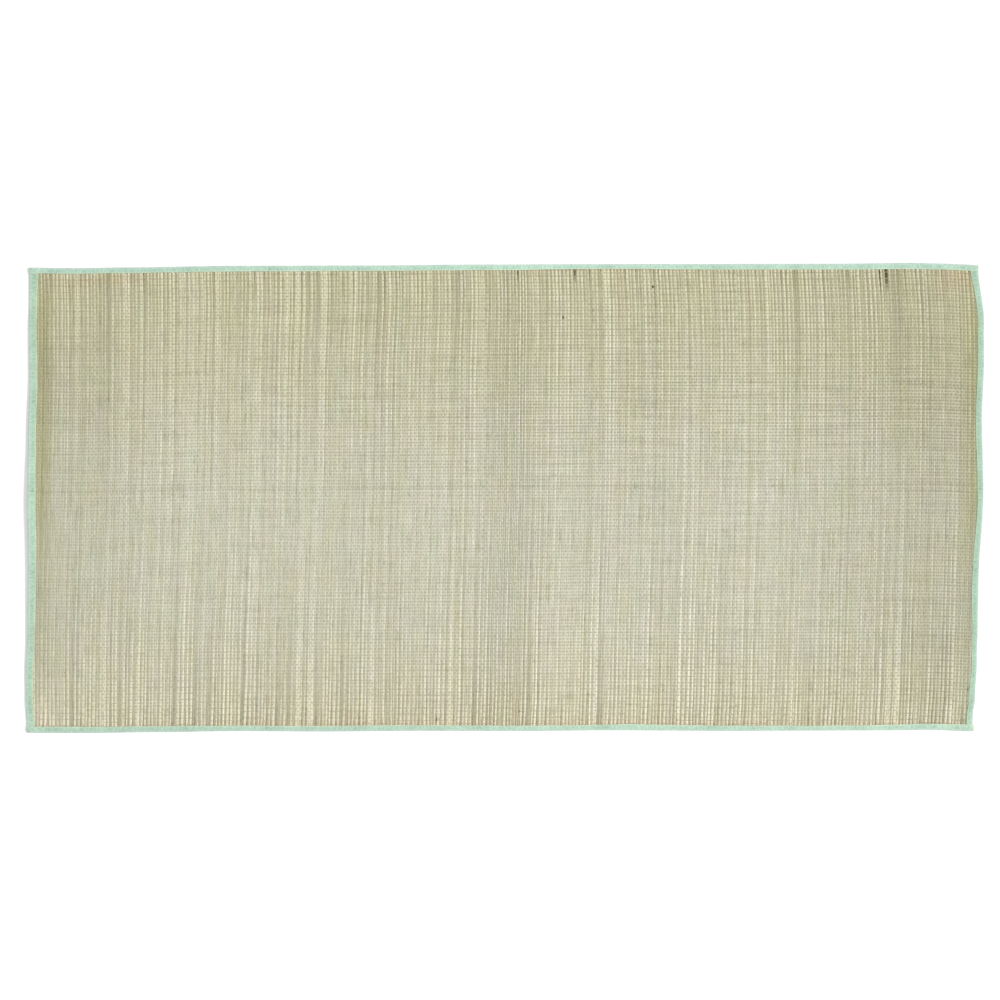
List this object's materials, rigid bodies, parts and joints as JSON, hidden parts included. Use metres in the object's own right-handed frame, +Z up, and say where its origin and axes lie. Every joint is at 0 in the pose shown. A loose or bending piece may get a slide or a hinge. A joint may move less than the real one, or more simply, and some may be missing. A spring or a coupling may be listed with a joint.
{
  "type": "straw beach mat",
  "caption": "Flat rectangular woven straw beach mat lying open, its edges bound in narrow folded mint-green tape, one end curling slightly off the ground.",
  "frame": {"origin": "on the ground under the middle of the mat", "axes": "+X along the mat's length, +Y across its width, +Z up out of its upper face"},
  "size_m": [1.8121, 0.8891, 0.0107],
  "materials": {
    "straw": "woven dried straw, dull sheen",
    "tape": "ribbed woven tape, matt"
  },
  "bodies": {
    "root": {"straw_sheet": "straw", "binding_back": "tape", "binding_front": "tape", "binding_left": "tape", "binding_right": "tape"}
  },
  "joints": []
}
